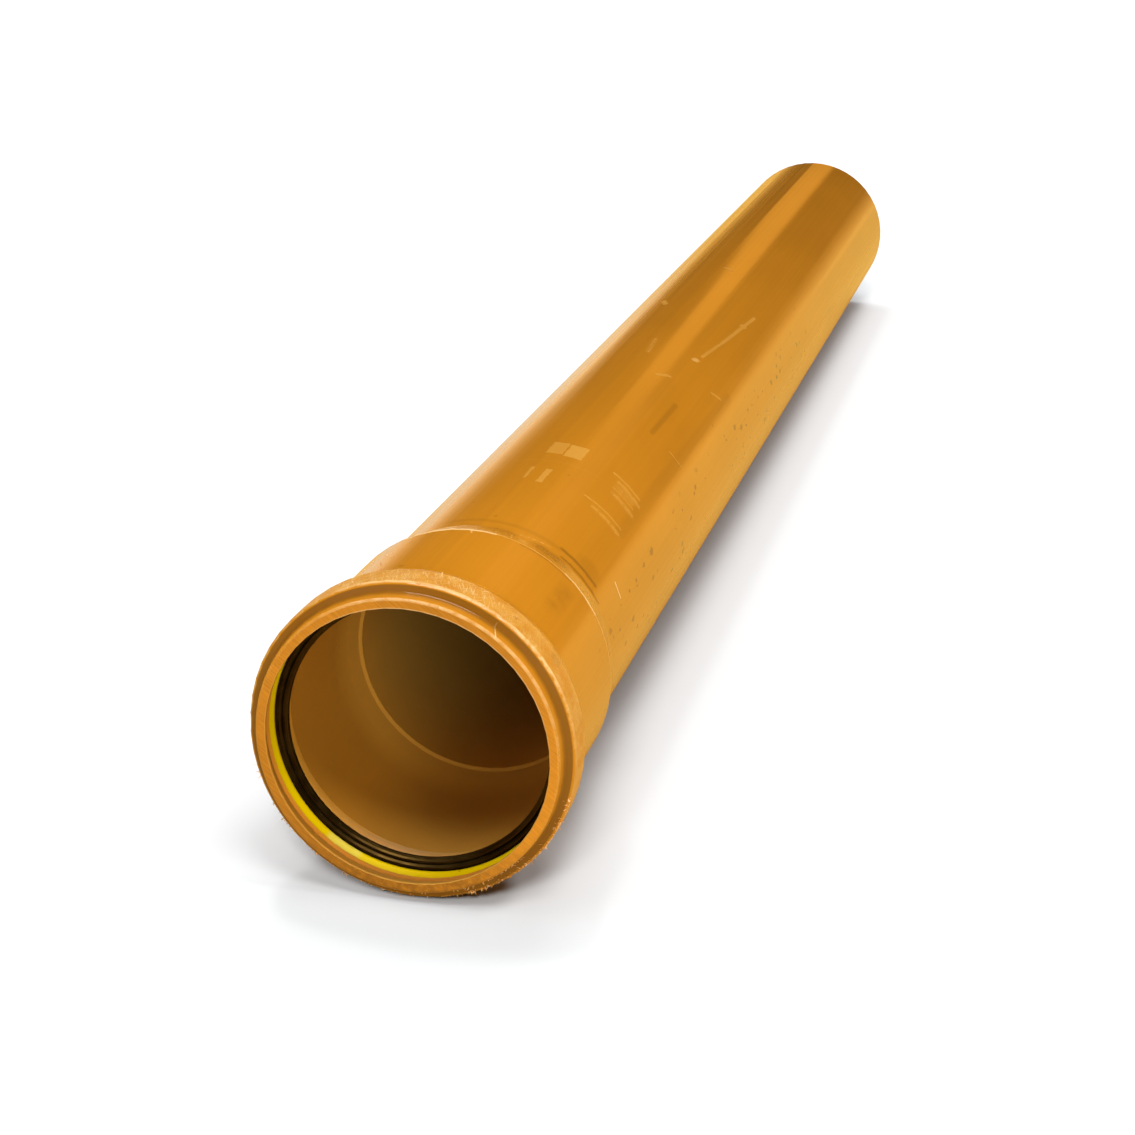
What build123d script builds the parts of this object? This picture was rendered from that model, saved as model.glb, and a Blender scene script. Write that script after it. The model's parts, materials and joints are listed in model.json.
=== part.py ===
from build123d import *
import math
import os

# Orange PVC-U cable protection pipe with a push-in socket formed on one end.
# Millimetres, +Z up. It lies on the floor on its bead and its spigot end, mouth towards -Y.
# Profiles are drawn as (distance from the mouth, radius) and turned about the pipe's axis.

# Pipe
overall_length = 1060.0
pipe_radius = 55.0
pipe_wall = 3.2
spigot_chamfer_length = 7.0
spigot_chamfer_depth = 1.9
spigot_inner_break = 0.3

# Socket that takes the next pipe's spigot
spigot_play = 0.9
socket_depth = 85.5
socket_wall = 3.1
socket_end_blend = 60.0
shoulder_length = 16.5
shoulder_edge_round = 1.6
shoulder_foot_round = 9.0
bore_step_length = 1.2
bore_step_height = 1.2

# Lip round the mouth
mouth_play = 0.5
mouth_land = 1.0
mouth_edge_round = 0.3
lip_wall = 3.9
lip_length = 4.8
lip_draft = 1.0
lip_outer_round = 1.2
lip_foot_round = 0.8

# Undercut behind the mouth, and the ridge that faces it
undercut_length = 7.6
undercut_depth = 3.15
ridge_length = 0.7
ridge_height = 1.25
ridge_back_length = 1.7

# Chamber for the rings, and the bead that it raises on the outside
hook_length = 1.2
hook_height = 2.5
chamber_depth = 5.2
chamber_length = 9.2
chamber_ramp_length = 7.0
bead_wall = 3.1
bead_front_length = 1.2
bead_front_round = 1.9
bead_crown_length = 13.7
bead_bevel_length = 3.8
bead_bevel_drop = 1.1
bead_back_round = 0.4
bead_ramp_length = 8.0
bead_ramp_round = 6.0

# Retaining ring
ring_clearance = 0.15
retainer_length = 3.2
retainer_height = 4.0
retainer_bevel_length = 2.4
retainer_edge_break = 0.25

# Lip seal behind it
seal_root_height = 3.5
seal_squeeze = 3.0
seal_tip_setback = 1.5
seal_tip_thickness = 1.5
seal_tip_break = 0.4
seal_neck_length = 4.6
seal_rib_height = 0.7
seal_rib_width = 1.8
seal_rib_crest = 0.7
seal_rib_place_shares = (0.27, 0.7)

# Worked out from the sizes above
bore_radius = pipe_radius - pipe_wall
socket_inner_radius = pipe_radius + spigot_play
socket_outer_radius = socket_inner_radius + socket_wall
mouth_radius = pipe_radius + mouth_play
lip_radius = mouth_radius + lip_wall
lip_foot_radius = lip_radius + lip_draft
chamber_radius = socket_inner_radius + chamber_depth
undercut_radius = mouth_radius + undercut_depth
undercut_end = mouth_land + undercut_length
ridge_radius = undercut_radius - ridge_height
ridge_place = undercut_end + ridge_length
hook_radius = chamber_radius - hook_height
hook_start = ridge_place + ridge_back_length
chamber_start = hook_start + hook_length
chamber_end = chamber_start + chamber_length
bead_radius = chamber_radius + bead_wall
bead_start = lip_length + bead_front_length
crown_end = bead_start + bead_crown_length
bead_end = crown_end + bead_bevel_length
bead_end_radius = bead_radius - bead_bevel_drop
ring_radius = chamber_radius - ring_clearance
retainer_start = hook_start + ring_clearance
retainer_end = retainer_start + retainer_length
retainer_inner_radius = chamber_radius - retainer_height
seal_start = retainer_end
seal_end = chamber_end - ring_clearance
seal_root_radius = chamber_radius - seal_root_height
seal_tip_radius = pipe_radius - seal_squeeze
rest_length = overall_length - spigot_chamfer_length


def nearest_corner(face, corner):
    """Corner of a flat profile that lies at this distance from the mouth and radius."""
    return face.vertices().sort_by_distance(Plane.YZ.from_local_coords(corner))[0]


def rounded(face, corners):
    """Round each named corner of a flat profile."""
    for corner, radius in corners:
        face = fillet(nearest_corner(face, corner), radius).face()
    return face


def broken(face, corners, length):
    """Take the sharp edge off each named corner of a flat profile."""
    for corner in corners:
        face = chamfer(nearest_corner(face, corner), length).face()
    return face


def turned(face):
    """Turn a profile about the pipe's axis into one solid."""
    return revolve(face, Axis.Y, 360).solid()


def pipe_profile():
    """Section of the pipe's wall: lip, bead, socket, shoulder, barrel and spigot end."""
    fall = socket_outer_radius - pipe_radius
    wall_shift = pipe_wall * math.tan(math.atan2(fall, shoulder_length) / 2)
    lip_edge = (0, lip_radius)
    lip_foot = (lip_length, lip_foot_radius)
    bead_front = (bead_start, bead_radius)
    bead_back = (bead_end, bead_end_radius)
    ramp_foot = (bead_end + bead_ramp_length, socket_outer_radius)
    shoulder_edge = (socket_depth + wall_shift, socket_outer_radius)
    shoulder_foot = (socket_depth + shoulder_length + wall_shift, pipe_radius)
    chamfer_start = (rest_length, pipe_radius)
    chamfer_end = (overall_length, pipe_radius - spigot_chamfer_depth)
    bore_end = (overall_length, bore_radius)
    bore_start = (socket_depth + shoulder_length, bore_radius)
    bore_step = (bore_start[0] - bore_step_length, bore_radius + bore_step_height)
    socket_end = (socket_depth, socket_inner_radius)
    socket_start = (chamber_end + chamber_ramp_length, socket_inner_radius)
    mouth_edge = (0, mouth_radius)
    section = Polyline(
        bead_front, (crown_end, bead_radius), bead_back, ramp_foot, shoulder_edge, shoulder_foot,
        chamfer_start, chamfer_end, bore_end, bore_start, bore_step, socket_end, socket_start,
        (chamber_end, chamber_radius), (chamber_start, chamber_radius), (hook_start, hook_radius),
        (ridge_place, ridge_radius), (undercut_end, undercut_radius), (mouth_land, mouth_radius),
        mouth_edge, lip_edge, lip_foot, close=True,
    )
    face = rounded(Plane.YZ * make_face(section), [
        (lip_edge, lip_outer_round),
        (lip_foot, lip_foot_round),
        (bead_front, bead_front_round),
        (bead_back, bead_back_round),
        (ramp_foot, bead_ramp_round),
        (shoulder_edge, shoulder_edge_round),
        (shoulder_foot, shoulder_foot_round),
        (socket_end, socket_end_blend),
        (mouth_edge, mouth_edge_round),
    ])
    return broken(face, [bore_end], spigot_inner_break)


def retainer_profile():
    """Section of the ring that holds the seal back: hooked behind the ridge, bevelled in front."""
    hook = (retainer_start, hook_radius)
    hook_top = (chamber_start + ring_clearance, ring_radius)
    back_top = (retainer_end, ring_radius)
    back_foot = (retainer_end, retainer_inner_radius)
    bevel_end = (retainer_start + retainer_bevel_length, retainer_inner_radius)
    section = Polyline(hook, hook_top, back_top, back_foot, bevel_end, close=True)
    return broken(Plane.YZ * make_face(section), [hook, bevel_end], retainer_edge_break)


def seal_rib(share):
    """One rib of the seal's front face, at a share of the way from the root to the lip's tip."""
    radius = retainer_inner_radius + share * (seal_tip_radius - retainer_inner_radius)
    base = seal_start + share * seal_tip_setback
    return [
        (base, radius + seal_rib_width / 2),
        (base - seal_rib_height, radius + seal_rib_crest / 2),
        (base - seal_rib_height, radius - seal_rib_crest / 2),
        (base, radius - seal_rib_width / 2),
    ]


def seal_profile():
    """Section of the rubber seal: root in the chamber, ribbed lip reaching in to the spigot."""
    ribs = [point for share in seal_rib_place_shares for point in seal_rib(share)]
    tip_front = (seal_start + seal_tip_setback, seal_tip_radius)
    tip_back = (seal_start + seal_tip_setback + seal_tip_thickness, seal_tip_radius)
    section = Polyline(
        (seal_start, ring_radius), (seal_start, retainer_inner_radius), *ribs, tip_front, tip_back,
        (seal_start + seal_neck_length, seal_root_radius), (seal_end, seal_root_radius),
        (seal_end, ring_radius), close=True,
    )
    return broken(Plane.YZ * make_face(section), [tip_front, tip_back], seal_tip_break)


def resting_tilt():
    """Angle of the axis, in radians, with the bead's crown and the spigot end on the floor."""
    return math.atan2(bead_radius - pipe_radius, rest_length - crown_end)


def axis_height(tilt):
    """Height of the axis above the floor, at the mouth."""
    return rest_length * math.sin(tilt) + pipe_radius * math.cos(tilt)


def laid_down(pieces):
    """Lay the pieces on the floor, with the origin under the middle of their box."""
    tilt = resting_tilt()
    tilted = [Rot(X=-math.degrees(tilt)) * piece for piece in pieces]
    middle = Compound(tilted).bounding_box().center().Y
    return [Pos(0, -middle, axis_height(tilt)) * piece for piece in tilted]


def main():
    os.makedirs("parts", exist_ok=True)
    names = ("pipe", "retaining_ring", "seal_ring")
    profiles = (pipe_profile(), retainer_profile(), seal_profile())
    for name, piece in zip(names, laid_down([turned(profile) for profile in profiles])):
        export_step(piece, f"parts/{name}.step")


if __name__ == "__main__":
    main()
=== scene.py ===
import functools
import json
import math
import random

import bmesh
import bpy
from mathutils import Matrix, Vector


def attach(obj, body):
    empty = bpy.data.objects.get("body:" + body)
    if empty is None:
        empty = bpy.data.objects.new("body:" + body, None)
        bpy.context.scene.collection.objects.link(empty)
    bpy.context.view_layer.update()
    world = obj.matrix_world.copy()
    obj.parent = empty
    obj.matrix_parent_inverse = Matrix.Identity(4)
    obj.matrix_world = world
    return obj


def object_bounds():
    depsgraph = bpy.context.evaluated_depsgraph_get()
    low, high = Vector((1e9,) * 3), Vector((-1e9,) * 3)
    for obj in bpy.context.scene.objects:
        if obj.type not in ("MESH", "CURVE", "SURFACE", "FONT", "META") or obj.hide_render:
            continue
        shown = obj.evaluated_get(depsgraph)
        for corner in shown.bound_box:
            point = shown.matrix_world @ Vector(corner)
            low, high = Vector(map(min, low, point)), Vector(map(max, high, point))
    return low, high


bl_info = {
    "name": "Cable Protection Pipe",
    "version": (1, 0, 0),
    "blender": (4, 5, 0),
    "location": "3D Viewport > Sidebar > Pipe",
    "description": "Finishes an orange cable protection pipe with its seal and retaining ring",
    "category": "Object",
}

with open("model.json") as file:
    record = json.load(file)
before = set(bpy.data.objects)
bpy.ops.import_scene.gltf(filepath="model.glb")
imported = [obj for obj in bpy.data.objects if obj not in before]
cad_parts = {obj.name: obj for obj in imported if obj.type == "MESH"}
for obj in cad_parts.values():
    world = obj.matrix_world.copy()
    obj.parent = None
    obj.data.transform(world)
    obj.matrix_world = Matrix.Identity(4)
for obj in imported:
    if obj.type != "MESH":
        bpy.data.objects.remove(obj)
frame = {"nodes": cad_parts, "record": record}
cad_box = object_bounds()

PHOTO_SIDE_PX = 1135
PHOTO_FOCAL_PX = 2271.04
SENSOR_WIDTH = 36.0
MM = 0.001
SKIN_RADIUS_MM = 55.0
LIP_TO_STATED_MOUTH_MM = 0.65
BURR_SEED = 7


def mount(name):
    """One of the pipe's stated fits."""
    return next(item for item in frame["record"]["mounts"] if item["name"] == name)


AXIS = Vector(mount("bore")["axis"]).normalized()
UP = Vector((1, 0, 0)).cross(AXIS)
MOUTH = Vector(mount("socket_mouth")["pos_m"]) - AXIS * LIP_TO_STATED_MOUTH_MM * MM

# Marks on the barrel and socket, and a painted highlight along the shoulder edge: distance from the mouth in
# mm, angle from the top in degrees
SCRATCHES_AND_SHOULDER_HIGHLIGHT = (
    ((424, 28.6), (427, 29.6), 3.6, 0.8),
    ((436, 30.8), (480, 35.0), 1.7, 0.55),
    ((480, 35.0), (560, 41.0), 1.9, 0.6),
    ((529, 38.0), (533, 39.2), 3.4, 0.5),
    ((637, 5.0), (632, 9.0), 3.0, 0.5),
    ((542, -16.0), (530, -12.0), 2.8, 0.7),
    ((440, 2.0), (410, 4.0), 2.4, 0.35),
    ((374, 18.0), (379, 23.0), 3.4, 0.5),
    ((400, 47.5), (405, 53.0), 2.2, 0.5),
    ((288, 48.0), (289, 57.0), 1.0, 0.35),
    ((217, 33.0), (214, 50.0), 1.6, 0.6),
    ((211, 38.0), (208, 51.0), 3.6, 0.45),
    ((202, 37.0), (200, 50.0), 1.4, 0.5),
    ((196, 39.0), (194, 51.0), 3.8, 0.40),
    ((175, 29.0), (173, 51.0), 1.6, 0.5),
    ((169, 35.0), (167, 51.0), 3.2, 0.40),
    ((200, -12.0), (202, 37.0), 0.8, 0.16),
    ((134, 64.0), (133, 71.0), 0.9, 1.0),
    ((97, 15.5), (88, 17.0), 0.8, 0.6),
    ((87, 1.0), (82, 2.4), 0.7, 0.8),
    ((34, 5.0), (17, 9.2), 0.5, 0.9),
    # These three rows are a painted highlight along the socket's shoulder edge, not scratches
    ((84.4, -26.0), (86.0, 11.0), 2.0, 1.0),
    ((86.9, 43.0), (86.0, 62.0), 1.8, 1.0),
    ((86.0, 11.0), (85.8, 100.0), 1.1, 0.75),
    ((103.5, 18.0), (106.5, 31.0), 1.4, 0.3),
    ((5.1, 33.8), (0.6, 36.4), 0.5, 1.0),
)

# Paler patches where the wall is rubbed: middle and half size, in mm and degrees
RUBBED_PATCHES = (
    ((221, 3.0), (9, 4.2), 0.5),
    ((220, 12.2), (9, 4.6), 0.7),
    ((181, -0.4), (9, 1.0), 0.5),
    ((179, 7.4), (10, 1.6), 0.62),
    ((205, 43.0), (2.5, 6.5), 0.25),
    ((92, 21.5), (3.5, 2.0), 0.45),
)

# Darker rings and lines, as the scratches are
DARK_LINES = (
    ((111.8, 36.0), (111.8, 56.5), 2.6, 0.62),
    ((105.2, 38.0), (105.2, 62.5), 1.8, 0.60),
    ((110.5, -16.0), (110.5, 34.0), 3.4, 0.20),
    ((84.6, 22.0), (84.6, 46.0), 1.0, 0.45),
    ((170.0, 52.0), (420.0, 57.0), 6.0, 0.16),
    ((290.0, 35.0), (345.0, 36.0), 2.6, 0.30),
)

# Darker soft stains, and painted shade on the shoulder slope: middle, radius in mm and how dark
STAINS_AND_SHOULDER_SHADE = (
    # These four rows are painted shade on the shoulder slope, not stains
    ((97.5, 29.0), 8.0, 0.32),
    ((97.5, 37.0), 8.0, 0.32),
    ((97.0, -6.0), 11.0, 0.18),
    ((97.0, 9.0), 11.0, 0.18),
    ((118.0, 50.0), 9.0, 0.16),
    ((16.0, 57.0), 4.0, 0.24),
    ((74.5, -31.0), 1.2, 0.60),
    ((58.5, -23.0), 1.0, 0.60),
)

# Far lamps that light the grey floor alone: direction, level on a white card, width in degrees
FLOOR_LAMPS = (
    ("floor_front", (0.18, -1.14, 1.0), 1.22, 15),
    ("floor_high_front", (0.30, -0.40, 1.0), 0.71, 18),
    ("floor_right", (0.61, 0.01, 1.0), 0.50, 12),
    ("floor_back_left", (-0.20, 0.30, 1.0), 0.26, 7),
    ("floor_low_left", (-3.16, -0.21, 1.0), 1.27, 50),
    ("floor_back", (-0.08, 0.55, 1.0), 0.61, 33),
)


class PipeLooks(bpy.types.PropertyGroup):
    """Finish of the pipe's orange wall."""
    colour: bpy.props.FloatVectorProperty(
        name="Plastic colour", description="Colour of the orange wall",
        subtype="COLOR", size=3, min=0, max=1, default=(0.50, 0.187, 0.0095),
    )
    # Painted light: a paler, yellower copy of the wall colour, to lift the dim inside of the pipe
    inside: bpy.props.FloatVectorProperty(
        name="Inside colour", description="Colour of the unworn wall inside the pipe",
        subtype="COLOR", size=3, min=0, max=1, default=(0.52, 0.215, 0.0172),
    )
    # Painted light: paler and yellower still, laid deeper in and towards the lower right inside
    deep: bpy.props.FloatVectorProperty(
        name="Bore colour", description="Colour of the dull bore past the socket",
        subtype="COLOR", size=3, min=0, max=1, default=(0.46, 0.262, 0.043),
    )
    cut: bpy.props.FloatVectorProperty(
        name="Cut face colour", description="Colour of the lip's cut face",
        subtype="COLOR", size=3, min=0, max=1, default=(0.535, 0.200, 0.0112),
    )
    # Also used for painted highlights on the upper edges and along the shoulder edge
    worn: bpy.props.FloatVectorProperty(
        name="Worn colour", description="Colour of scratched and rubbed plastic",
        subtype="COLOR", size=3, min=0, max=1, default=(0.61, 0.300, 0.048),
    )
    # Also used for painted highlights on the upper edges and along the shoulder edge
    frayed: bpy.props.FloatVectorProperty(
        name="Frayed colour", description="Colour of the palest scratches and shavings",
        subtype="COLOR", size=3, min=0, max=1, default=(0.76, 0.50, 0.22),
    )
    # Also painted shade in the step between the lip and the bead
    grime_and_shade: bpy.props.FloatVectorProperty(
        name="Grime colour", description="Colour of dirt in pits and on the lower edge",
        subtype="COLOR", size=3, min=0, max=1, default=(0.20, 0.075, 0.006),
    )
    # Painted light: a bright colour that stands in for light falling on the ramp behind the seal
    lead_in_painted_light: bpy.props.FloatVectorProperty(
        name="Lead-in colour", description="Colour of the bright ramp behind the seal",
        subtype="COLOR", size=3, min=0, max=1, default=(1.0, 0.47, 0.06),
    )
    roughness: bpy.props.FloatProperty(
        name="Roughness", description="Roughness of the smooth extruded wall",
        subtype="FACTOR", min=0, max=1, default=0.17,
    )
    inside_roughness: bpy.props.FloatProperty(
        name="Inside roughness", description="Roughness of the wall inside the pipe",
        subtype="FACTOR", min=0, max=1, default=0.55,
    )


class RingLooks(bpy.types.PropertyGroup):
    """Finish of the seal and its retaining ring."""
    rubber: bpy.props.FloatVectorProperty(
        name="Rubber colour", description="Colour of the lip seal",
        subtype="COLOR", size=3, min=0, max=1, default=(0.006, 0.0035, 0.0008),
    )
    # Painted sheen: the seal's brown shine, laid in clouds
    painted_rubber_sheen: bpy.props.FloatVectorProperty(
        name="Dusty rubber colour", description="Colour of the seal's paler clouds",
        subtype="COLOR", size=3, min=0, max=1, default=(0.020, 0.0125, 0.003),
    )
    dust: bpy.props.FloatVectorProperty(
        name="Dust colour", description="Colour of the specks on the seal",
        subtype="COLOR", size=3, min=0, max=1, default=(0.16, 0.10, 0.04),
    )
    rubber_shine: bpy.props.FloatVectorProperty(
        name="Rubber shine", description="Tint of the seal's shine",
        subtype="COLOR", size=3, min=0, max=1, default=(1.0, 0.55, 0.12),
    )
    yellow: bpy.props.FloatVectorProperty(
        name="Ring colour", description="Colour of the retaining ring",
        subtype="COLOR", size=3, min=0, max=1, default=(0.68, 0.475, 0.0),
    )
    pale_yellow: bpy.props.FloatVectorProperty(
        name="Pale ring colour", description="Colour of the ring's paler length",
        subtype="COLOR", size=3, min=0, max=1, default=(0.70, 0.555, 0.065),
    )
    deep_yellow: bpy.props.FloatVectorProperty(
        name="Deep ring colour", description="Colour of the ring's deeper clouds",
        subtype="COLOR", size=3, min=0, max=1, default=(0.7, 0.42, 0.0),
    )
    nick: bpy.props.FloatVectorProperty(
        name="Nick colour", description="Colour of the small nicks in the ring",
        subtype="COLOR", size=3, min=0, max=1, default=(0.25, 0.16, 0.0),
    )
    yellow_shine: bpy.props.FloatVectorProperty(
        name="Ring shine", description="Tint of the ring's shine",
        subtype="COLOR", size=3, min=0, max=1, default=(1.0, 0.8, 0.1),
    )


class BurrLooks(bpy.types.PropertyGroup):
    """Shavings raised along the worn edges."""
    torn: bpy.props.FloatVectorProperty(
        name="Torn colour", description="Colour of the torn plastic",
        subtype="COLOR", size=3, min=0, max=1, default=(0.85, 0.40, 0.06),
    )
    pale_torn: bpy.props.FloatVectorProperty(
        name="Pale torn colour", description="Colour of the palest torn plastic",
        subtype="COLOR", size=3, min=0, max=1, default=(1.0, 0.66, 0.32),
    )
    length: bpy.props.FloatProperty(
        name="Longest shaving", description="Length of the longest shaving, in metres",
        unit="LENGTH", default=0.0030,
    )
    thickness: bpy.props.FloatProperty(
        name="Shaving thickness", description="Thickness of a shaving at its root, in metres",
        unit="LENGTH", default=0.00060,
    )


class StageLooks(bpy.types.PropertyGroup):
    """Camera, floor and studio light."""
    camera_place: bpy.props.FloatVectorProperty(
        name="Camera place", description="Where the camera stands, in metres",
        subtype="XYZ", unit="LENGTH", size=3, default=(0.245831, -1.265808, 0.412730),
    )
    azimuth: bpy.props.FloatProperty(
        name="Camera azimuth", description="How far the camera stands round to the right",
        subtype="ANGLE", default=math.radians(14.0036),
    )
    elevation: bpy.props.FloatProperty(
        name="Camera elevation", description="How far the camera looks down",
        subtype="ANGLE", default=math.radians(19.6696),
    )
    floor_half: bpy.props.FloatProperty(
        name="Floor half size", description="Half the side of the studio floor",
        unit="LENGTH", default=12.0,
    )
    floor_seen: bpy.props.FloatVectorProperty(
        name="Floor to the camera", description="Floor colour that the camera sees",
        subtype="COLOR", size=3, min=0, max=1, default=(0.372, 0.378, 0.382),
    )
    floor_cast: bpy.props.FloatVectorProperty(
        name="Floor to the pipe", description="Floor colour that lights the pipe from below",
        subtype="COLOR", size=3, min=0, max=1, default=(0.15, 0.12, 0.09),
    )
    floor_mirrored: bpy.props.FloatVectorProperty(
        name="Floor in the shine", description="Floor colour mirrored in the pipe's shine",
        subtype="COLOR", size=3, min=0, max=1, default=(0.34, 0.215, 0.05),
    )
    far_mirrored: bpy.props.FloatVectorProperty(
        name="Far floor in the shine", description="Colour of the floor's far left, mirrored in the pipe",
        subtype="COLOR", size=3, min=0, max=1, default=(0.333, 0.29, 0.20),
    )


class NodeSheet:
    """Adds nodes to one material or node group and joins them up."""

    def __init__(self, tree):
        self.tree = tree

    def feed(self, socket, value):
        if isinstance(value, bpy.types.NodeSocket):
            self.tree.links.new(value, socket)
        else:
            socket.default_value = value

    def add(self, kind, inputs=(), **settings):
        node = self.tree.nodes.new(kind)
        for name, value in settings.items():
            setattr(node, name, value)
        for name, value in dict(inputs).items():
            self.feed(node.inputs[name], value)
        return node

    def math(self, operation, *values):
        return self.add("ShaderNodeMath", enumerate(values), operation=operation).outputs[0]

    def folded(self, operation, values):
        """One value from many, taken two at a time."""
        return functools.reduce(lambda first, second: self.math(operation, first, second), values)

    def product(self, *values):
        return self.folded("MULTIPLY", values)

    def highest(self, *values):
        return self.folded("MAXIMUM", values)

    def clamped(self, operation, *values):
        node = self.add("ShaderNodeMath", enumerate(values), operation=operation, use_clamp=True)
        return node.outputs[0]

    def vector(self, operation, *values):
        return self.add("ShaderNodeVectorMath", enumerate(values), operation=operation).outputs[0]

    def measure(self, operation, *values):
        node = self.add("ShaderNodeVectorMath", enumerate(values), operation=operation)
        return node.outputs["Value"]

    def ramp(self, value, start, end, low=0.0, high=1.0):
        """Low below start and high past end, with a smooth rise between."""
        inputs = {"Value": value, "From Min": start, "From Max": end, "To Min": low, "To Max": high}
        node = self.add("ShaderNodeMapRange", inputs, interpolation_type="SMOOTHSTEP")
        return node.outputs["Result"]

    def band(self, value, start, end, soft):
        """One between start and end, fading to zero over the soft distance."""
        rise = self.ramp(value, start - soft, start + soft)
        fall = self.ramp(value, end - soft, end + soft, 1.0, 0.0)
        return self.product(rise, fall)

    def join(self, x, y, z=0.0):
        return self.add("ShaderNodeCombineXYZ", {"X": x, "Y": y, "Z": z}).outputs["Vector"]

    def blend(self, factor, below, above, kind="MIX"):
        node = self.add("ShaderNodeMix", data_type="RGBA", blend_type=kind)
        for socket, value in zip((node.inputs[0], node.inputs[6], node.inputs[7]), (factor, below, above)):
            self.feed(socket, value)
        return node.outputs[2]

    def noise(self, vector, scale, detail=3.0, roughness=0.5):
        inputs = {"Vector": vector, "Scale": scale, "Detail": detail, "Roughness": roughness}
        return self.add("ShaderNodeTexNoise", inputs).outputs["Fac"]

    def group(self, tree, **inputs):
        node = self.add("ShaderNodeGroup", node_tree=tree)
        for name, value in inputs.items():
            self.feed(node.inputs[name.replace("_", " ")], value)
        return node.outputs

    def bump(self, height, normal=None):
        """Height is in millimetres."""
        inputs = {"Height": height, "Distance": MM, "Strength": 1.0}
        if normal is not None:
            inputs["Normal"] = normal
        return self.add("ShaderNodeBump", inputs).outputs["Normal"]


def new_group(name, inputs, outputs):
    """A node group with named float or vector sockets."""
    tree = bpy.data.node_groups.new(name, "ShaderNodeTree")
    for names, direction in ((inputs, "INPUT"), (outputs, "OUTPUT")):
        for label, kind in names.items():
            tree.interface.new_socket(label, in_out=direction, socket_type="NodeSocket" + kind)
    sheet = NodeSheet(tree)
    entry = sheet.add("NodeGroupInput")
    result = sheet.add("NodeGroupOutput")
    return sheet, entry.outputs, result.inputs


def place_group():
    """Distance from the mouth and radius in mm, angle from the top in degrees, outward facing."""
    outputs = {
        "Along": "Float", "Radius": "Float", "Angle": "Float", "Outward": "Float",
        "Place": "Vector", "Skin": "Vector",
    }
    sheet, _, result = new_group("place_on_pipe", {}, outputs)
    point = sheet.add("ShaderNodeTexCoord").outputs["Object"]
    step = sheet.vector("SUBTRACT", point, MOUTH)
    across, up, along = (
        sheet.math("DIVIDE", sheet.measure("DOT_PRODUCT", step, way), MM)
        for way in (Vector((1, 0, 0)), UP, AXIS)
    )
    turn = sheet.math("ARCTAN2", across, up)
    spread = sheet.join(across, up)
    facing = sheet.add("ShaderNodeNewGeometry").outputs["Normal"]
    level = sheet.join(*(sheet.measure("DOT_PRODUCT", facing, way) for way in (Vector((1, 0, 0)), UP)))
    sheet.feed(result["Outward"], sheet.measure("DOT_PRODUCT", level, sheet.vector("NORMALIZE", spread)))
    sheet.feed(result["Along"], along)
    sheet.feed(result["Radius"], sheet.measure("LENGTH", spread))
    sheet.feed(result["Angle"], sheet.math("DEGREES", turn))
    sheet.feed(result["Place"], sheet.join(across, up, along))
    sheet.feed(result["Skin"], sheet.join(along, sheet.math("MULTIPLY", turn, SKIN_RADIUS_MM)))
    return sheet.tree


def scratches_group():
    """Crossing fine scratches, in three directions over the skin."""
    inputs = {"Skin": "Vector", "Length": "Float", "Width": "Float", "Amount": "Float"}
    sheet, entry, result = new_group("crossed_scratches", inputs, {"Mask": "Float"})
    threshold = sheet.math("SUBTRACT", 0.80, sheet.math("MULTIPLY", entry["Amount"], 0.2))
    upper = sheet.math("ADD", threshold, 0.06)
    stretch = sheet.join(
        sheet.math("DIVIDE", 1.0, entry["Length"]), sheet.math("DIVIDE", 1.0, entry["Width"]),
    )
    mask = 0.0
    for number, turn in enumerate((8.0, 24.0, -38.0)):
        turned = sheet.add("ShaderNodeVectorRotate", {"Vector": entry["Skin"], "Angle": math.radians(turn)})
        spread = sheet.vector("MULTIPLY", turned.outputs["Vector"], stretch)
        shifted = sheet.vector("ADD", spread, Vector((13.7, 5.1, 31.0)) * number)
        lines = sheet.ramp(sheet.noise(shifted, 1.0, 2.0), threshold, upper)
        mask = sheet.math("MAXIMUM", mask, lines)
    sheet.feed(result["Mask"], mask)
    return sheet.tree


def specks_group():
    """Small scattered specks, of which a share of the cells holds one."""
    inputs = {"Place": "Vector", "Spacing": "Float", "Size": "Float", "Share": "Float"}
    sheet, entry, result = new_group("specks", inputs, {"Mask": "Float"})
    spread = sheet.vector("DIVIDE", entry["Place"], sheet.join(*[entry["Spacing"]] * 3))
    cells = sheet.add("ShaderNodeTexVoronoi", {"Vector": spread, "Scale": 1.0})
    chance = sheet.add("ShaderNodeSeparateColor", {"Color": cells.outputs["Color"]}).outputs
    ragged = sheet.noise(entry["Place"], 0.9, 2.0)
    edge = sheet.product(sheet.math("DIVIDE", entry["Size"], entry["Spacing"]), chance["Green"], ragged, 1.5)
    inside = sheet.ramp(cells.outputs["Distance"], edge, sheet.math("MULTIPLY", edge, 0.6))
    kept = sheet.math("LESS_THAN", chance["Red"], entry["Share"])
    sheet.feed(result["Mask"], sheet.math("MULTIPLY", inside, kept))
    return sheet.tree


def line_group():
    """One straight mark between two places on the skin, with a ragged edge."""
    inputs = {"Skin": "Vector", "Start": "Vector", "End": "Vector", "Width": "Float", "Ragged": "Float"}
    sheet, entry, result = new_group("straight_mark", inputs, {"Mask": "Float"})
    step = sheet.vector("SUBTRACT", entry["Skin"], entry["Start"])
    run = sheet.vector("SUBTRACT", entry["End"], entry["Start"])
    along, whole = (sheet.measure("DOT_PRODUCT", way, run) for way in (step, run))
    part = sheet.clamped("DIVIDE", along, whole)
    nearest = sheet.add("ShaderNodeVectorMath", {0: run}, operation="SCALE")
    sheet.feed(nearest.inputs["Scale"], part)
    gap = sheet.measure("LENGTH", sheet.vector("SUBTRACT", step, nearest.outputs[0]))
    edge = sheet.math("MULTIPLY", entry["Width"], 0.5)
    gap = sheet.math("ADD", gap, sheet.product(edge, entry["Ragged"]))
    sheet.feed(result["Mask"], sheet.ramp(gap, sheet.product(edge, 2.0), edge))
    return sheet.tree


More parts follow.
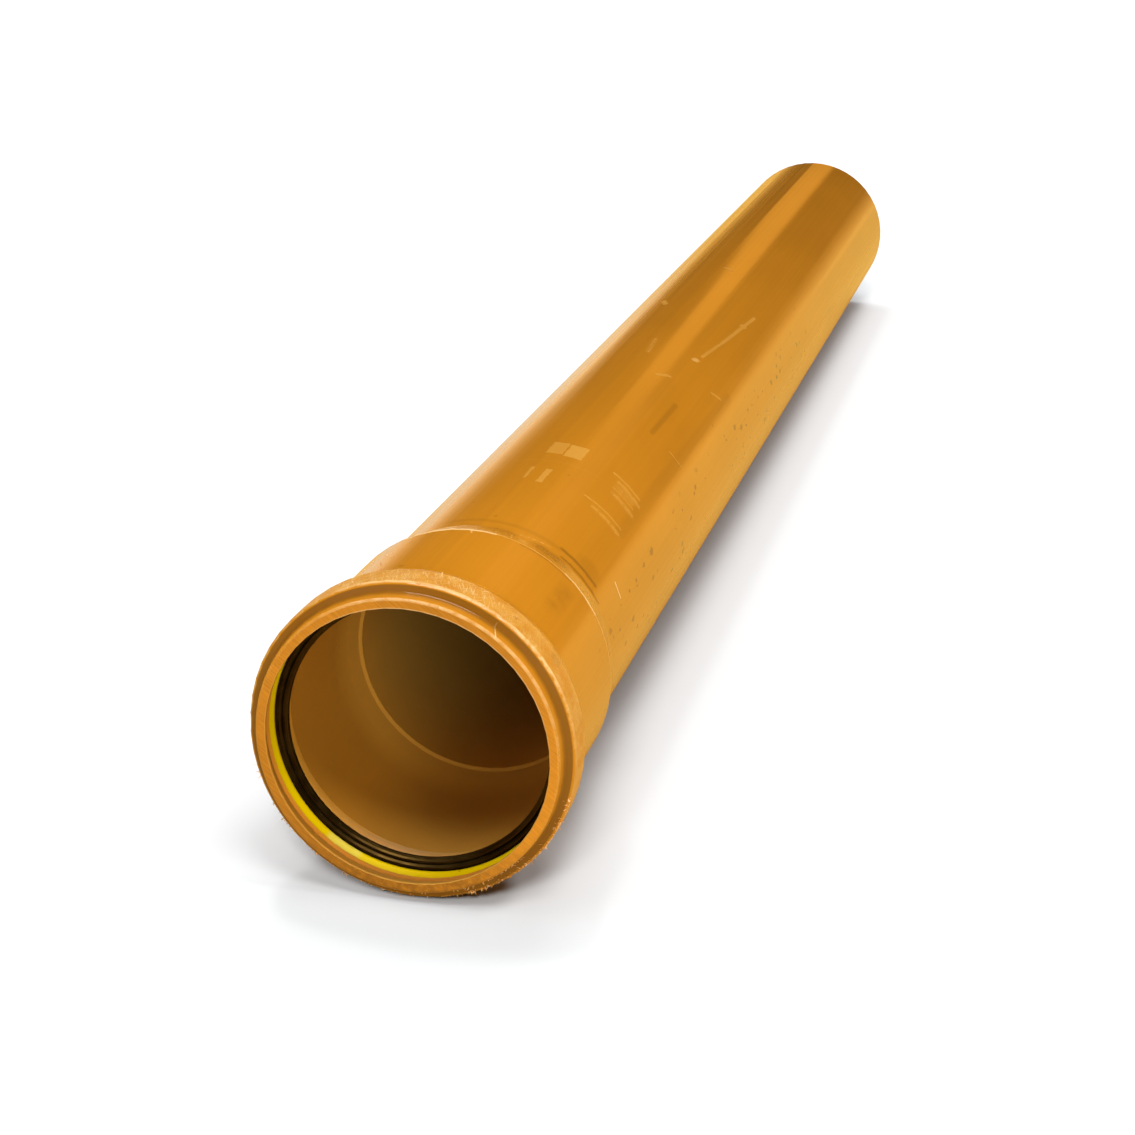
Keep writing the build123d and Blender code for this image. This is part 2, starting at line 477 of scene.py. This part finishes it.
def patch_group():
    """One rubbed patch with ragged edges."""
    inputs = {"Skin": "Vector", "Middle": "Vector", "Half": "Vector", "Ragged": "Float"}
    sheet, entry, result = new_group("rubbed_patch", inputs, {"Mask": "Float"})
    offset = sheet.vector("ABSOLUTE", sheet.vector("SUBTRACT", entry["Skin"], entry["Middle"]))
    over = sheet.add("ShaderNodeSeparateXYZ", {"Vector": sheet.vector("SUBTRACT", offset, entry["Half"])})
    gap = sheet.math("MAXIMUM", over.outputs["X"], over.outputs["Y"])
    gap = sheet.math("ADD", gap, sheet.product(entry["Ragged"], 1.4))
    sheet.feed(result["Mask"], sheet.ramp(gap, 0.9, 0.1))
    return sheet.tree


def grain_group():
    """Fine moulded grain, as a height in mm and a shade about one half."""
    inputs = {"Place": "Vector", "Scale": "Float", "Height": "Float"}
    sheet, entry, result = new_group("moulded_grain", inputs, {"Relief": "Float", "Shade": "Float"})
    grain = sheet.noise(entry["Place"], entry["Scale"], 4.0, 0.6)
    sheet.feed(result["Relief"], sheet.math("MULTIPLY", grain, entry["Height"]))
    sheet.feed(result["Shade"], sheet.noise(entry["Place"], sheet.math("MULTIPLY", entry["Scale"], 0.12), 3.0))
    return sheet.tree


GROUP_MAKERS = {
    "place_on_pipe": place_group,
    "crossed_scratches": scratches_group,
    "specks": specks_group,
    "straight_mark": line_group,
    "rubbed_patch": patch_group,
    "moulded_grain": grain_group,
}


def shared(name):
    """The named node group, made on first use."""
    return bpy.data.node_groups.get(name) or GROUP_MAKERS[name]()


def skin_place(place):
    """Distance and angle as a place on the unrolled skin, in mm."""
    return Vector((place[0], math.radians(place[1]) * SKIN_RADIUS_MM, 0))


def new_material(name):
    """An empty material with its shader."""
    material = bpy.data.materials.new(name)
    material.use_nodes = True
    material.node_tree.nodes.clear()
    sheet = NodeSheet(material.node_tree)
    shader = sheet.add("ShaderNodeBsdfPrincipled")
    sheet.add("ShaderNodeOutputMaterial", {"Surface": shader.outputs["BSDF"]})
    return material, sheet, shader


def tone(colour):
    return (*colour, 1.0)


def patches_mask(sheet, skin, table):
    """Rubbed patches of a table, each as strong as it says."""
    ragged = sheet.noise(sheet.vector("MULTIPLY", skin, (0.25, 1.4, 1.0)), 1.0, 3.0)
    masks = []
    for middle, half, strength in table:
        mark = sheet.group(
            shared("rubbed_patch"), Skin=skin, Ragged=ragged, Middle=skin_place(middle), Half=skin_place(half),
        )
        masks.append(sheet.product(mark["Mask"], strength))
    return sheet.highest(*masks)


def lines_mask(sheet, skin, ragged, table):
    """Straight marks of a table, each as strong as it says."""
    masks = []
    for start, end, width, strength in table:
        mark = sheet.group(
            shared("straight_mark"), Skin=skin, Ragged=ragged,
            Start=skin_place(start), End=skin_place(end), Width=width,
        )
        masks.append(sheet.product(mark["Mask"], strength))
    return sheet.highest(*masks)


def stains_mask(sheet, skin, table):
    """Soft round stains of a table, each as strong as it says."""
    masks = []
    for middle, reach, strength in table:
        gap = sheet.measure("DISTANCE", skin, skin_place(middle))
        masks.append(sheet.ramp(gap, reach, reach * 0.4, 0.0, strength))
    return sheet.highest(*masks)


def pipe_material(looks):
    """Orange plastic: smooth wall, worn bead, sawn lip and rubbed marks, with painted light and shade on the
    lip, edges, shoulder and inside.
    """
    material, sheet, shader = new_material("worn_orange_plastic")
    at = sheet.group(shared("place_on_pipe"))
    along, radius, angle, place, skin = (at[name] for name in ("Along", "Radius", "Angle", "Place", "Skin"))
    outside = sheet.ramp(at["Outward"], -0.15, -0.03)
    within = sheet.math("SUBTRACT", 1.0, outside)

    def facing(middle, turns=1):
        """Cosine of the angle about the axis from the middle, in degrees, times the turns."""
        start = math.radians(-middle * turns)
        return sheet.math("COSINE", sheet.math("MULTIPLY_ADD", angle, math.radians(turns), start))

    def about(middle):
        """Angle about the axis from the middle, in degrees, without its sign."""
        return sheet.math("ABSOLUTE", sheet.math("SUBTRACT", angle, middle))

    # Slow colour changes of the extruded wall, and painted light inside: the wall turns paler and yellower
    # deeper in and towards the lower right
    drawn = sheet.noise(sheet.vector("MULTIPLY", place, (0.55, 0.55, 0.0016)), 1.0, 5.0, 0.6)
    cloud = sheet.noise(sheet.vector("MULTIPLY", place, (0.02, 0.02, 0.008)), 1.0, 3.0)
    shade = sheet.ramp(drawn, 0.3, 0.7, 0.98, 1.02)
    shade = sheet.math("ADD", shade, sheet.ramp(cloud, 0.3, 0.7, -0.04, 0.04))
    # Painted light: where the inside takes the paler bore colour, by depth and towards the lower right
    painted_lift_low_right = sheet.ramp(facing(140.0), 0.1, 0.9, 0.0, 0.42)
    depth = sheet.highest(sheet.ramp(along, 50.0, 180.0), painted_lift_low_right)
    inside = sheet.blend(depth, tone(looks.inside), tone(looks.deep))
    # Painted light: the ramp behind the seal takes a bright colour, standing in for light falling on it
    # through the mouth
    ramp = sheet.product(sheet.ramp(along, 21.0, 22.0), sheet.ramp(along, 28.3, 24.8))
    # Painted light: the inner hook's front face takes the brighter cut colour where light reaches it
    painted_lit_ridge = sheet.product(sheet.band(along, 8.55, 9.35, 0.1), sheet.ramp(radius, 57.2, 57.5))
    inside = sheet.blend(painted_lit_ridge, inside, tone(looks.cut))
    inside = sheet.blend(ramp, inside, tone(looks.lead_in_painted_light))
    colour = sheet.blend(outside, inside, tone(looks.colour))
    colour = sheet.blend(1.0, colour, sheet.join(shade, shade, shade), "MULTIPLY")

    # Rubbed patches and single scratches, with a painted highlight along the shoulder edge
    ragged = sheet.noise(skin, 0.8, 2.0)
    rubbed = sheet.highest(
        patches_mask(sheet, skin, RUBBED_PATCHES), lines_mask(sheet, skin, ragged, SCRATCHES_AND_SHOULDER_HIGHLIGHT),
    )
    rubbed = sheet.product(rubbed, outside)
    colour = sheet.blend(rubbed, colour, tone(looks.worn))
    colour = sheet.blend(sheet.ramp(rubbed, 0.7, 1.0), colour, tone(looks.frayed))

    # Crown of the bead, hazy, finely scratched and pitted
    crown = sheet.product(sheet.band(along, 6.4, 19.8, 0.4), sheet.ramp(radius, 63.0, 63.8))
    fine = sheet.group(shared("crossed_scratches"), Skin=skin, Length=7.0, Width=0.34, Amount=1.0)["Mask"]
    patchy = sheet.noise(skin, 0.12, 4.0, 0.65)
    harsh = sheet.ramp(about(-8.0), 50.0, 20.0, 0.35, 1.0)
    haze = sheet.product(crown, sheet.ramp(patchy, 0.36, 0.64, 0.05, 0.75))
    scratched = sheet.product(crown, fine, sheet.ramp(patchy, 0.3, 0.55, 0.35, 1.0), harsh)
    pits = sheet.group(shared("specks"), Place=skin, Spacing=4.6, Size=1.5, Share=0.22)["Mask"]
    pitted = sheet.product(crown, pits)
    colour = sheet.blend(haze, colour, tone(looks.worn))
    colour = sheet.blend(scratched, colour, tone(looks.frayed))
    colour = sheet.blend(sheet.product(pitted, 0.45), colour, tone(looks.grime_and_shade))

    # Cut face of the lip, brushed on a slant, with painted light, and painted shade in the step behind it
    lip = sheet.product(sheet.ramp(along, 0.6, 0.25), outside)
    slant = {"Vector": place, "Angle": math.radians(38)}
    slanted = sheet.add("ShaderNodeVectorRotate", slant, rotation_type="Z_AXIS").outputs["Vector"]
    sawn = sheet.noise(sheet.vector("MULTIPLY", slanted, (0.10, 1.6, 1.0)), 1.0, 3.0, 0.6)
    # Painted light on the cut face: a painted sheen in two lobes across the brushing, and brighter towards the
    # lower right
    light = sheet.math("MULTIPLY_ADD", facing(125.0, 2), 0.12, sheet.ramp(sawn, 0.3, 0.7, 0.84, 1.12))
    light = sheet.math("MULTIPLY_ADD", facing(110.0), 0.11, light)
    cut = sheet.blend(1.0, tone(looks.cut), sheet.join(light, light, light), "MULTIPLY")
    colour = sheet.blend(lip, colour, cut)
    # Painted shade: the step between the lip and the bead is darkened where shade falls in it
    step = sheet.product(sheet.band(along, 1.2, 6.0, 0.35), sheet.ramp(radius, 63.3, 62.8))
    step = sheet.product(step, outside, sheet.ramp(along, 1.8, 5.1, 0.12, 0.88))
    colour = sheet.blend(step, colour, tone(looks.grime_and_shade))

    # Pale worn edges round the mouth, the lip's outside and the front of the bead, with a painted highlight:
    # paler and stronger towards the top
    broken = sheet.noise(skin, 0.22, 4.0, 0.6)
    # Painted highlight: the edges are paler towards the top, where the light catches them
    upper = sheet.ramp(about(25.0), 85.0, 25.0)
    rim = sheet.product(sheet.ramp(along, 0.7, 0.3), sheet.ramp(radius, 56.0, 55.8, 0.0, 0.7))
    brow = sheet.product(sheet.band(along, 0.0, 1.1, 0.2), sheet.band(radius, 58.5, 59.5, 0.3))
    brow = sheet.product(brow, sheet.ramp(broken, 0.35, 0.6, 0.25, 0.6))
    front = sheet.product(sheet.band(along, 6.2, 7.5, 0.35), sheet.ramp(radius, 62.6, 63.4))
    front = sheet.product(front, sheet.ramp(broken, 0.36, 0.56, 0.2, 0.8))
    edges = sheet.product(sheet.highest(rim, brow, front), sheet.ramp(upper, 0.0, 1.0, 0.4, 1.0))
    fresh_highlit = sheet.blend(sheet.product(upper, 0.8), tone(looks.worn), tone(looks.frayed))
    colour = sheet.blend(edges, colour, fresh_highlit)

    # Darker colour: low round the mouth, in specks on the right side, and in smudges, stains and lines;
    # painted shade on the shoulder slope
    low = sheet.product(sheet.ramp(along, 9.5, 6.5), sheet.ramp(sheet.math("ABSOLUTE", angle), 115.0, 165.0))
    low = sheet.product(low, sheet.ramp(sheet.noise(place, 0.35, 4.0, 0.65), 0.30, 0.62, 0.2, 0.75))
    side = sheet.product(sheet.band(angle, 66.0, 104.0, 5.0), sheet.band(along, 90.0, 660.0, 40.0))
    long_place = sheet.vector("MULTIPLY", place, (1.0, 1.0, 0.5))
    dots = sheet.group(shared("specks"), Place=long_place, Spacing=4.6, Size=2.9, Share=0.7)["Mask"]
    strays = sheet.group(shared("specks"), Place=place, Spacing=15.0, Size=2.2, Share=0.3)["Mask"]
    spots = sheet.highest(sheet.product(side, dots), sheet.product(strays, 0.6))
    smudge = sheet.product(sheet.band(along, 52.0, 77.0, 6.0), sheet.band(angle, 43.0, 50.0, 3.0))
    smudge = sheet.product(smudge, sheet.ramp(sheet.noise(skin, 0.12, 2.0, 0.5), 0.3, 0.7, 0.1, 0.34))
    dirt = sheet.highest(
        low, sheet.product(spots, 0.7), smudge, stains_mask(sheet, skin, STAINS_AND_SHOULDER_SHADE),
        lines_mask(sheet, skin, ragged, DARK_LINES),
    )
    colour = sheet.blend(sheet.product(dirt, outside), colour, tone(looks.grime_and_shade))

    # Dust that catches light inside
    motes = sheet.group(shared("specks"), Place=place, Spacing=6.0, Size=1.3, Share=0.35)["Mask"]
    colour = sheet.blend(sheet.product(motes, within, 0.55), colour, tone(looks.worn))
    sheet.feed(shader.inputs["Base Color"], colour)

    wear = sheet.highest(crown, edges, rubbed, lip)
    smooth = sheet.ramp(outside, 0.0, 1.0, looks.inside_roughness, looks.roughness)
    smooth = sheet.math("ADD", smooth, sheet.ramp(drawn, 0.3, 0.7, -0.03, 0.05))
    sheet.feed(shader.inputs["Roughness"], sheet.clamped("ADD", smooth, sheet.product(wear, 0.3)))

    grain = sheet.group(shared("moulded_grain"), Place=place, Scale=0.35, Height=0.008)["Relief"]
    relief = sheet.math("ADD", grain, sheet.product(drawn, 0.0015))
    for mask, cut_depth in ((scratched, 0.05), (pitted, 0.16), (sheet.product(lip, sawn), 0.06)):
        relief = sheet.math("SUBTRACT", relief, sheet.product(mask, cut_depth))
    sheet.feed(shader.inputs["Normal"], sheet.bump(relief))
    shader.inputs["IOR"].default_value = 1.46
    return material


def rubber_material(looks):
    """Black rubber with a fine grain, a painted sheen in clouds and a few dust specks."""
    material, sheet, shader = new_material("black_seal_rubber")
    at = sheet.group(shared("place_on_pipe"))
    grain = sheet.group(shared("moulded_grain"), Place=at["Place"], Scale=1.2, Height=0.03)
    dust = sheet.group(shared("specks"), Place=at["Place"], Spacing=1.8, Size=0.5, Share=0.16)["Mask"]
    # Painted sheen: clouds of the seal's colour turn to the brown shine
    cloud = sheet.ramp(grain["Shade"], 0.4, 0.7, 0.0, 0.6)
    colour = sheet.blend(cloud, tone(looks.rubber), tone(looks.painted_rubber_sheen))
    colour = sheet.blend(sheet.product(dust, 0.5), colour, tone(looks.dust))
    sheet.feed(shader.inputs["Base Color"], colour)
    sheet.feed(shader.inputs["Roughness"], sheet.ramp(grain["Shade"], 0.3, 0.7, 0.28, 0.46))
    sheet.feed(shader.inputs["Normal"], sheet.bump(grain["Relief"]))
    shader.inputs["Specular Tint"].default_value = tone(looks.rubber_shine)
    return material


def yellow_material(looks):
    """Yellow plastic with a paler length and small dark nicks."""
    material, sheet, shader = new_material("yellow_ring_plastic")
    at = sheet.group(shared("place_on_pipe"))
    full_turn = sheet.math("FLOORED_MODULO", at["Angle"], 360.0)
    pale = sheet.band(full_turn, 204.0, 218.5, 1.6)
    cloud = sheet.noise(at["Place"], 0.3, 3.0)
    colour = sheet.blend(sheet.ramp(cloud, 0.35, 0.65, 0.0, 0.12), tone(looks.yellow), tone(looks.deep_yellow))
    pale = sheet.product(pale, sheet.ramp(cloud, 0.3, 0.6, 0.6, 1.0))
    colour = sheet.blend(pale, colour, tone(looks.pale_yellow))
    nicks = sheet.group(shared("specks"), Place=at["Place"], Spacing=3.2, Size=0.9, Share=0.2)["Mask"]
    colour = sheet.blend(sheet.product(nicks, 0.6), colour, tone(looks.nick))
    sheet.feed(shader.inputs["Base Color"], colour)
    sheet.feed(shader.inputs["Roughness"], sheet.ramp(cloud, 0.3, 0.7, 0.3, 0.42))
    grain = sheet.group(shared("moulded_grain"), Place=at["Place"], Scale=0.8, Height=0.02)
    sheet.feed(shader.inputs["Normal"], sheet.bump(grain["Relief"]))
    shader.inputs["Specular Tint"].default_value = tone(looks.yellow_shine)
    return material


def shaving_material(looks):
    """Torn plastic, paler here and there."""
    material, sheet, shader = new_material("frayed_plastic_edge")
    at = sheet.group(shared("place_on_pipe"))
    cloud = sheet.noise(at["Place"], 0.6, 3.0)
    colour = sheet.blend(sheet.ramp(cloud, 0.4, 0.62), tone(looks.torn), tone(looks.pale_torn))
    sheet.feed(shader.inputs["Base Color"], colour)
    sheet.feed(shader.inputs["Roughness"], sheet.ramp(cloud, 0.3, 0.7, 0.45, 0.65))
    return material


def finish_node(name, material):
    """Gives a carried-over piece its finish."""
    node = frame["nodes"][name]
    node.data.materials.clear()
    node.data.materials.append(material)


def pipe_point(along, radius, angle):
    """Point in metres from mm along the pipe, mm from its axis and degrees from the top."""
    turn = math.radians(angle)
    out = Vector((1, 0, 0)) * math.sin(turn) + UP * math.cos(turn)
    return MOUTH + AXIS * along * MM + out * radius * MM, out


# Where shavings stand: angles in degrees, distance and radius in mm, number, lean out and forward, size
BURR_ROWS = (
    ((104, 160), (6.2, 7.3), (62.8, 63.9), 240, -0.1, 1.0, 0.9),
    ((104, 150), (7.0, 11.0), (63.7, 64.0), 34, 0.1, 0.9, 0.8),
    ((132, 197), (3.4, 4.9), (60.0, 60.5), 110, 0.4, 0.8, 0.6),
    ((150, 236), (6.2, 7.3), (62.8, 63.9), 150, 0.1, 1.0, 0.7),
    ((215, 256), (6.2, 7.4), (63.2, 64.0), 22, 0.8, 0.8, 0.9),
    ((256, 345), (6.4, 20.0), (63.8, 64.1), 26, 0.9, 0.2, 0.5),
    ((-16, 24), (6.3, 9.0), (63.4, 64.1), 36, 0.5, 0.6, 0.5),
    ((36, 62), (6.3, 8.0), (63.4, 64.1), 18, 0.5, 0.6, 0.45),
    ((-30, -12), (14.0, 34.0), (60.5, 64.1), 16, 0.9, 0.2, 0.5),
    ((-36, -18), (38.0, 78.0), (58.9, 59.1), 16, 0.9, 0.1, 0.5),
)


def add_shaving(shape, dice, start, out, heading, length, thickness):
    """Draws one curled, flat and tapering shaving."""
    ring = bmesh.ops.create_circle(shape, cap_ends=True, segments=4, radius=thickness)["verts"]
    bmesh.ops.scale(shape, vec=(1, 0.4, 1), verts=ring)
    turn = heading.to_track_quat("Z", "Y").to_matrix()
    bmesh.ops.transform(shape, matrix=Matrix.Translation(start) @ turn.to_4x4(), verts=ring)
    curl = Vector((dice.uniform(-1, 1), dice.uniform(-1, 1), dice.uniform(-1, 1))) * 0.35
    face = ring[0].link_faces[0]
    steps = 4
    for _ in range(steps):
        face = bmesh.ops.extrude_discrete_faces(shape, faces=[face])["faces"][0]
        heading = (heading + curl).normalized()
        verts = list(face.verts)
        bmesh.ops.translate(shape, vec=heading * length / steps, verts=verts)
        middle = sum((vert.co for vert in verts), Vector()) / len(verts)
        taper = dice.uniform(0.55, 0.95)
        bmesh.ops.scale(shape, vec=(taper,) * 3, space=Matrix.Translation(-middle), verts=verts)


def seated(point):
    """The point itself, or the nearest point of the pipe's wall where it would hang in the air."""
    _, place, facing, _ = frame["nodes"]["pipe"].closest_point_on_mesh(point)
    return place if (point - place).dot(facing) > 0 else point


def kept_in_box(shape):
    """Bends whatever leaves the pipe's box back to its faces."""
    low, high = cad_box
    for vert in shape.verts:
        for axis in range(3):
            vert.co[axis] = min(max(vert.co[axis], low[axis]), high[axis])


def new_piece(name, shape, material):
    mesh = bpy.data.meshes.new(name)
    bmesh.ops.remove_doubles(shape, verts=shape.verts, dist=1e-7)
    bmesh.ops.recalc_face_normals(shape, faces=shape.faces)
    shape.to_mesh(mesh)
    shape.free()
    piece = bpy.data.objects.new(name, mesh)
    bpy.context.scene.collection.objects.link(piece)
    mesh.materials.append(material)
    return piece


class PIPE_OT_pipe(bpy.types.Operator):
    """Finish the pipe's wall"""
    bl_idname = "pipe.finish_pipe"
    bl_label = "Finish Pipe"

    def execute(self, context):
        finish_node("pipe", pipe_material(context.scene.pipe_looks))
        return {"FINISHED"}


class PIPE_OT_rings(bpy.types.Operator):
    """Finish the seal and the retaining ring"""
    bl_idname = "pipe.finish_rings"
    bl_label = "Finish Rings"

    def execute(self, context):
        finish_node("seal_ring", rubber_material(context.scene.ring_looks))
        finish_node("retaining_ring", yellow_material(context.scene.ring_looks))
        return {"FINISHED"}


class PIPE_OT_burrs(bpy.types.Operator):
    """Raise shavings along the worn edges"""
    bl_idname = "pipe.raise_burrs"
    bl_label = "Raise Burrs"

    def execute(self, context):
        looks = context.scene.burr_looks
        dice = random.Random(BURR_SEED)
        shape = bmesh.new()
        for angles, alongs, radii, number, lean_out, lean_forward, size in BURR_ROWS:
            for _ in range(number):
                start, out = pipe_point(dice.uniform(*alongs), dice.uniform(*radii), dice.uniform(*angles))
                start = seated(start)
                side = AXIS.cross(out)
                heading = out * lean_out - AXIS * lean_forward + side * dice.uniform(-0.9, 0.9)
                length = looks.length * size * dice.uniform(0.2, 1.0) ** 1.6
                thickness = looks.thickness * size * dice.uniform(0.5, 1.1)
                add_shaving(shape, dice, start, out, heading.normalized(), length, thickness)
        kept_in_box(shape)
        piece = new_piece("edge_burrs", shape, shaving_material(looks))
        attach(piece, "root")
        bpy.data.collections["pipe_only"].objects.link(piece)
        return {"FINISHED"}


def add_camera(looks):
    """Stands the camera where the photograph was taken from."""
    data = bpy.data.cameras.new("camera")
    data.sensor_width = SENSOR_WIDTH
    data.lens = SENSOR_WIDTH * PHOTO_FOCAL_PX / PHOTO_SIDE_PX
    data.clip_start = 0.01
    camera = bpy.data.objects.new("camera", data)
    bpy.context.scene.collection.objects.link(camera)
    camera.location = looks.camera_place
    camera.rotation_euler = (math.pi / 2 - looks.elevation, 0, looks.azimuth)
    bpy.context.scene.camera = camera


def add_floor(looks):
    """A plain floor, white to the camera and dull in what it throws back."""
    mesh = bpy.data.meshes.new("studio_floor")
    shape = bmesh.new()
    bmesh.ops.create_grid(shape, x_segments=1, y_segments=1, size=looks.floor_half)
    shape.to_mesh(mesh)
    shape.free()
    floor = bpy.data.objects.new("studio_floor", mesh)
    bpy.context.scene.collection.objects.link(floor)
    material, sheet, shader = new_material("studio_floor")
    rays = sheet.add("ShaderNodeLightPath").outputs
    point = sheet.add("ShaderNodeTexCoord").outputs["Object"]
    leftward = sheet.measure("DOT_PRODUCT", point, (-1.0, -0.27, 0.0))
    backward = sheet.measure("DOT_PRODUCT", point, (0.0, 1.0, 0.0))
    far_left = sheet.math("MULTIPLY", sheet.ramp(leftward, -0.05, 0.15), sheet.ramp(backward, -0.1, 0.2))
    mirrored = sheet.blend(far_left, tone(looks.floor_mirrored), tone(looks.far_mirrored))
    colour = sheet.blend(rays["Is Glossy Ray"], tone(looks.floor_cast), mirrored)
    colour = sheet.blend(rays["Is Camera Ray"], colour, tone(looks.floor_seen))
    sheet.feed(shader.inputs["Base Color"], colour)
    shader.inputs["Roughness"].default_value = 0.9
    shader.inputs["Specular IOR Level"].default_value = 0.0
    mesh.materials.append(material)
    return floor


def add_lamp(name, place, aim, size, level, colour=(1, 1, 1), lit=None, glossy=False, diffuse=True, lean=0):
    """A rectangular soft lamp; level is what it gives a white card that faces it at the aim."""
    data = bpy.data.lights.new(name, "AREA")
    data.shape = "RECTANGLE"
    data.size, data.size_y = size
    data.color = colour
    step = Vector(place) - Vector(aim)
    data.energy = level * math.pi ** 2 * step.length_squared
    lamp = bpy.data.objects.new(name, data)
    bpy.context.scene.collection.objects.link(lamp)
    turn = step.to_track_quat("Z", "Y").to_matrix().to_4x4() @ Matrix.Rotation(math.radians(lean), 4, "Z")
    lamp.matrix_world = Matrix.Translation(place) @ turn
    lamp.visible_glossy = glossy
    lamp.visible_diffuse = diffuse
    lamp.visible_camera = False
    if lit is not None:
        lamp.light_linking.receiver_collection = lit


def add_sun(name, direction, level, spread, lit=None):
    """A far lamp; level is what it gives a white card that faces it, spread its width in degrees."""
    data = bpy.data.lights.new(name, "SUN")
    data.energy = level * math.pi
    data.angle = math.radians(spread)
    lamp = bpy.data.objects.new(name, data)
    bpy.context.scene.collection.objects.link(lamp)
    lamp.rotation_euler = Vector(direction).to_track_quat("Z", "Y").to_euler()
    lamp.visible_glossy = False
    if lit is not None:
        lamp.light_linking.receiver_collection = lit


def add_world():
    """White to the camera, dim and even to the pipe, dark in its gloss."""
    world = bpy.data.worlds.new("studio")
    bpy.context.scene.world = world
    world.use_nodes = True
    world.node_tree.nodes.clear()
    sheet = NodeSheet(world.node_tree)
    rays = sheet.add("ShaderNodeLightPath").outputs
    level = sheet.ramp(rays["Is Glossy Ray"], 0.0, 1.0, 0.05, 0.01)
    level = sheet.math("MAXIMUM", level, rays["Is Camera Ray"])
    background = sheet.add("ShaderNodeBackground", {"Color": (1, 1, 1, 1), "Strength": level})
    sheet.add("ShaderNodeOutputWorld", {"Surface": background.outputs[0]})


class PIPE_OT_stage(bpy.types.Operator):
    """Set up the camera, the floor and the studio light"""
    bl_idname = "pipe.set_stage"
    bl_label = "Set Stage"

    def execute(self, context):
        looks = context.scene.stage_looks
        add_camera(looks)
        floor_only = bpy.data.collections.new("floor_only")
        floor_only.objects.link(add_floor(looks))
        pipe_only = bpy.data.collections.new("pipe_only")
        for node in frame["nodes"].values():
            pipe_only.objects.link(node)
        for name, direction, level, spread in FLOOR_LAMPS:
            add_sun(name, direction, level, spread, lit=floor_only)
        add_sun("back_left", (-0.27, 0.28, 1.0), 0.27, 4, lit=pipe_only)
        add_lamp("front", (0.9, -2.2, 0.38), MOUTH, (1.2, 0.7), 0.71, lit=pipe_only)
        add_lamp("front_left", (-0.9, -2.2, 0.5), MOUTH, (0.8, 0.7), 0.17, lit=pipe_only)
        add_lamp("over_front", (0.05, -0.84, 1.0), MOUTH, (0.6, 0.3), 0.72, lit=pipe_only, glossy=True)
        add_lamp("side", (1.8, 0.1, 0.24), (0, 0, 0.06), (0.5, 1.6), 1.18, lit=pipe_only)
        add_lamp("left", (-1.5, 0.2, 1.1), (0, 0, 0.06), (0.6, 1.6), 0.67, lit=pipe_only)
        add_lamp("soft_top", (0.0, -0.5, 1.9), (0, -0.5, 0), (1.6, 1.6), 0.10, lit=pipe_only, glossy=True)
        shine = {"lit": pipe_only, "glossy": True, "diffuse": False}
        add_lamp("low_strip", (-0.16, 2.9, 0.80), (0, 0, 0.06), (0.34, 0.75), 0.0097,
                 colour=(1.0, 0.42, 0.05), lean=10, **shine)
        for name, width, level in (("high_strip", 0.60, 0.0038), ("high_core", 0.28, 0.0034)):
            add_lamp(name, (0.30, 2.9, 1.62), (0, 0, 0.06), (width, 0.78), level,
                     colour=(1.0, 0.50, 0.14), lean=40, **shine)
        add_lamp("left_glow", (-1.5, 2.65, 0.20), (0, 0, 0.06), (1.1, 0.45), 0.0065,
                 colour=(1.0, 0.72, 0.30), **shine)
        add_lamp("horizon", (0, 2.9, 0.10), (0, 0, 0.06), (4.0, 0.2), 0.022,
                 colour=(1.0, 0.50, 0.10), **shine)
        add_world()
        context.scene.view_settings.view_transform = "Standard"
        return {"FINISHED"}


class PIPE_PT_panel(bpy.types.Panel):
    """Sizes, colours and steps of the pipe"""
    bl_idname = "PIPE_PT_panel"
    bl_label = "Cable Protection Pipe"
    bl_space_type = "VIEW_3D"
    bl_region_type = "UI"
    bl_category = "Pipe"

    def draw(self, context):
        for group in GROUPS:
            settings = getattr(context.scene, group)
            box = self.layout.box()
            for name in settings.__annotations__:
                box.prop(settings, name)
        for operator in STEPS:
            self.layout.operator(operator.bl_idname)


GROUPS = {
    "pipe_looks": PipeLooks,
    "ring_looks": RingLooks,
    "burr_looks": BurrLooks,
    "stage_looks": StageLooks,
}
STEPS = (PIPE_OT_stage, PIPE_OT_pipe, PIPE_OT_rings, PIPE_OT_burrs)


def register():
    for item in (*GROUPS.values(), *STEPS, PIPE_PT_panel):
        bpy.utils.register_class(item)
    for name, group in GROUPS.items():
        setattr(bpy.types.Scene, name, bpy.props.PointerProperty(type=group))


def unregister():
    for name in GROUPS:
        delattr(bpy.types.Scene, name)
    for item in reversed((*GROUPS.values(), *STEPS, PIPE_PT_panel)):
        bpy.utils.unregister_class(item)


def main():
    register()
    for step in STEPS:
        section, name = step.bl_idname.split(".")
        getattr(getattr(bpy.ops, section), name)()


if __name__ == "__main__":
    main()
